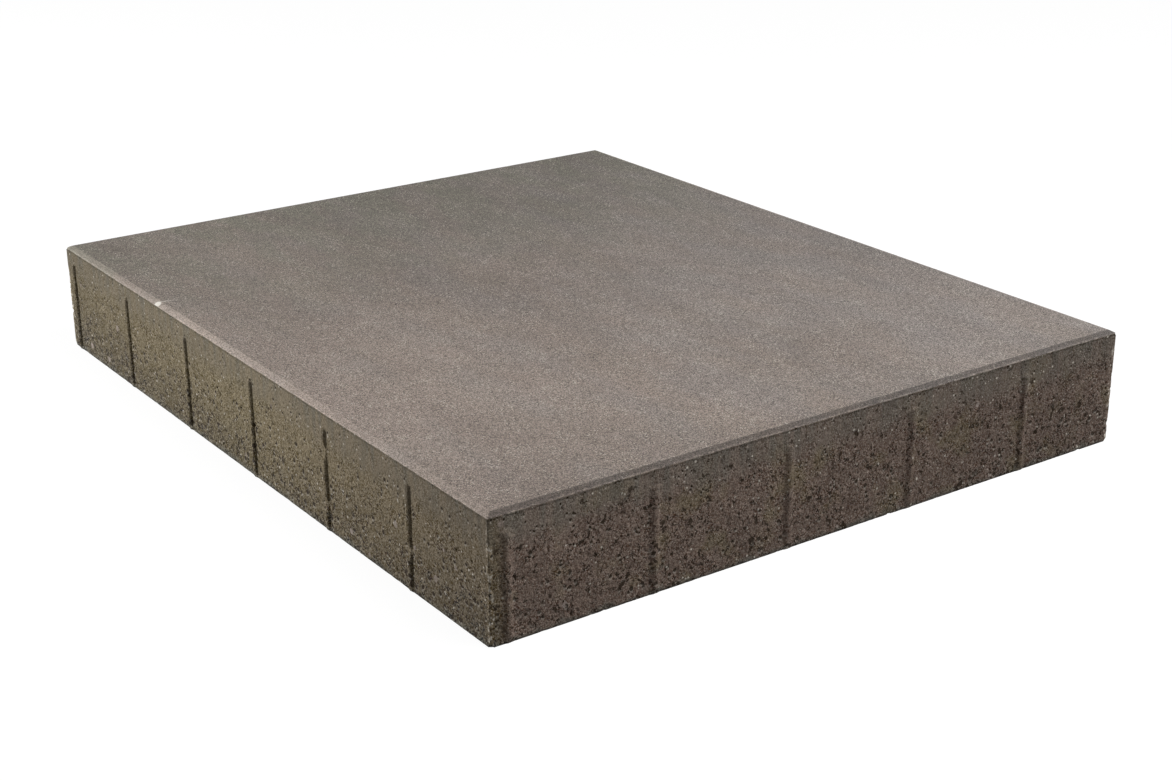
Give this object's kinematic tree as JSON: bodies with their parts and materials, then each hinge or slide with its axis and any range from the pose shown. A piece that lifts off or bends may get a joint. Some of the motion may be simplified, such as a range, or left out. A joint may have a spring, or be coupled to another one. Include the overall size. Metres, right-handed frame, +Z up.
{
  "type": "concrete road slab",
  "caption": "Rectangular pressed concrete slab for paving, with a chamfered wearing face and rounded spacer ribs down its sides.",
  "frame": {"origin": "middle of the bed face, at the bottom", "axes": "+X along the long side, +Y along the short side, +Z up, out of the wearing face"},
  "size_m": [0.6, 0.5, 0.08],
  "materials": {
    "concrete": "matte, fine sandy face and open-pored sides"
  },
  "bodies": {
    "root": {"slab": "concrete"}
  },
  "joints": []
}
